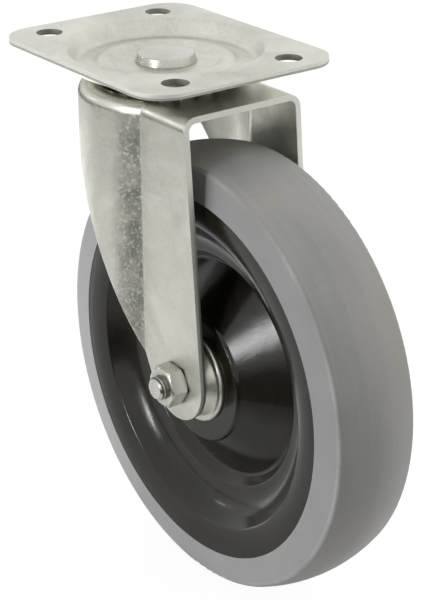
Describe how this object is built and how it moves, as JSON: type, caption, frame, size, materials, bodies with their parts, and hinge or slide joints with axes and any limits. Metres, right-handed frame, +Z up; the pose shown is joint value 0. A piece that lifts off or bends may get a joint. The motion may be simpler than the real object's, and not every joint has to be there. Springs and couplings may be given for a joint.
{
  "type": "swivel castor",
  "caption": "Swivel castor: bolted dished plate, pressed fork turning on two rows of balls, grey soft-tyred wheel on a caged roller bearing.",
  "frame": {"origin": "centre of the top plate's mounting face, on the swivel axis, at the middle of the four bolt holes", "axes": "+Z up out of the mounting face, +X the way the wheel trails behind the swivel axis, Y along the axle"},
  "size_m": [0.1582, 0.0746, 0.1787],
  "materials": {
    "zinc_sheet": "zinc plated, lightly stained",
    "zinc_fastener": "zinc plated, bright",
    "bearing_steel": "polished and greased",
    "cage_plastic": "natural nylon",
    "core_plastic": "moulded, glossy brown-black",
    "tyre_rubber": "matt grey, lightly scuffed"
  },
  "bodies": {
    "mount": {"top_plate": "zinc_sheet", "kingpin": "zinc_fastener", "lower_race_cup": "zinc_sheet"},
    "swivel_fork": {"fork": "zinc_sheet", "axle_bolt": "zinc_fastener", "axle_nut": "zinc_fastener", "spanner_bushing": "bearing_steel"},
    "upper_ball_row": {"upper_ball_01": "bearing_steel", "upper_ball_02": "bearing_steel", "upper_ball_03": "bearing_steel", "upper_ball_04": "bearing_steel", "upper_ball_05": "bearing_steel", "upper_ball_06": "bearing_steel", "upper_ball_07": "bearing_steel", "upper_ball_08": "bearing_steel", "upper_ball_09": "bearing_steel", "upper_ball_10": "bearing_steel", "upper_ball_11": "bearing_steel", "upper_ball_12": "bearing_steel", "upper_ball_13": "bearing_steel", "upper_ball_14": "bearing_steel", "upper_ball_15": "bearing_steel", "upper_ball_16": "bearing_steel", "upper_ball_17": "bearing_steel", "upper_ball_18": "bearing_steel", "upper_ball_19": "bearing_steel", "upper_ball_20": "bearing_steel"},
    "lower_ball_row": {"lower_ball_01": "bearing_steel", "lower_ball_02": "bearing_steel", "lower_ball_03": "bearing_steel", "lower_ball_04": "bearing_steel", "lower_ball_05": "bearing_steel", "lower_ball_06": "bearing_steel", "lower_ball_07": "bearing_steel", "lower_ball_08": "bearing_steel", "lower_ball_09": "bearing_steel", "lower_ball_10": "bearing_steel", "lower_ball_11": "bearing_steel", "lower_ball_12": "bearing_steel"},
    "wheel": {"wheel_core": "core_plastic", "tyre": "tyre_rubber", "bearing_liner": "bearing_steel", "retaining_washer_left": "zinc_sheet", "retaining_washer_right": "zinc_sheet"},
    "roller_bearing": {"roller_01": "bearing_steel", "roller_02": "bearing_steel", "roller_03": "bearing_steel", "roller_04": "bearing_steel", "roller_05": "bearing_steel", "roller_06": "bearing_steel", "roller_07": "bearing_steel", "roller_08": "bearing_steel", "roller_09": "bearing_steel", "roller_cage": "cage_plastic"}
  },
  "joints": [
    {"name": "swivel", "type": "hinge", "parent": "mount", "child": "swivel_fork", "pos_m": [0, 0, -0.0104], "axis": [0, 0, 1], "continuous": true},
    {"name": "wheel_spin", "type": "hinge", "parent": "swivel_fork", "child": "wheel", "pos_m": [0.0357, 0, -0.1025], "axis": [0, 1, 0], "continuous": true},
    {"name": "upper_ball_orbit", "type": "hinge", "parent": "mount", "child": "upper_ball_row", "pos_m": [0, 0, -0.0088], "axis": [0, 0, 1], "continuous": true},
    {"name": "lower_ball_orbit", "type": "hinge", "parent": "mount", "child": "lower_ball_row", "pos_m": [0, 0, -0.01405], "axis": [0, 0, 1], "continuous": true},
    {"name": "roller_orbit", "type": "hinge", "parent": "swivel_fork", "child": "roller_bearing", "pos_m": [0.0357, 0, -0.1025], "axis": [0, 1, 0], "continuous": true}
  ],
  "couplings": [
    {"joint": "upper_ball_orbit", "follows": "swivel", "ratio": 0.5},
    {"joint": "lower_ball_orbit", "follows": "swivel", "ratio": 0.5},
    {"joint": "roller_orbit", "follows": "wheel_spin", "ratio": 0.6209}
  ]
}
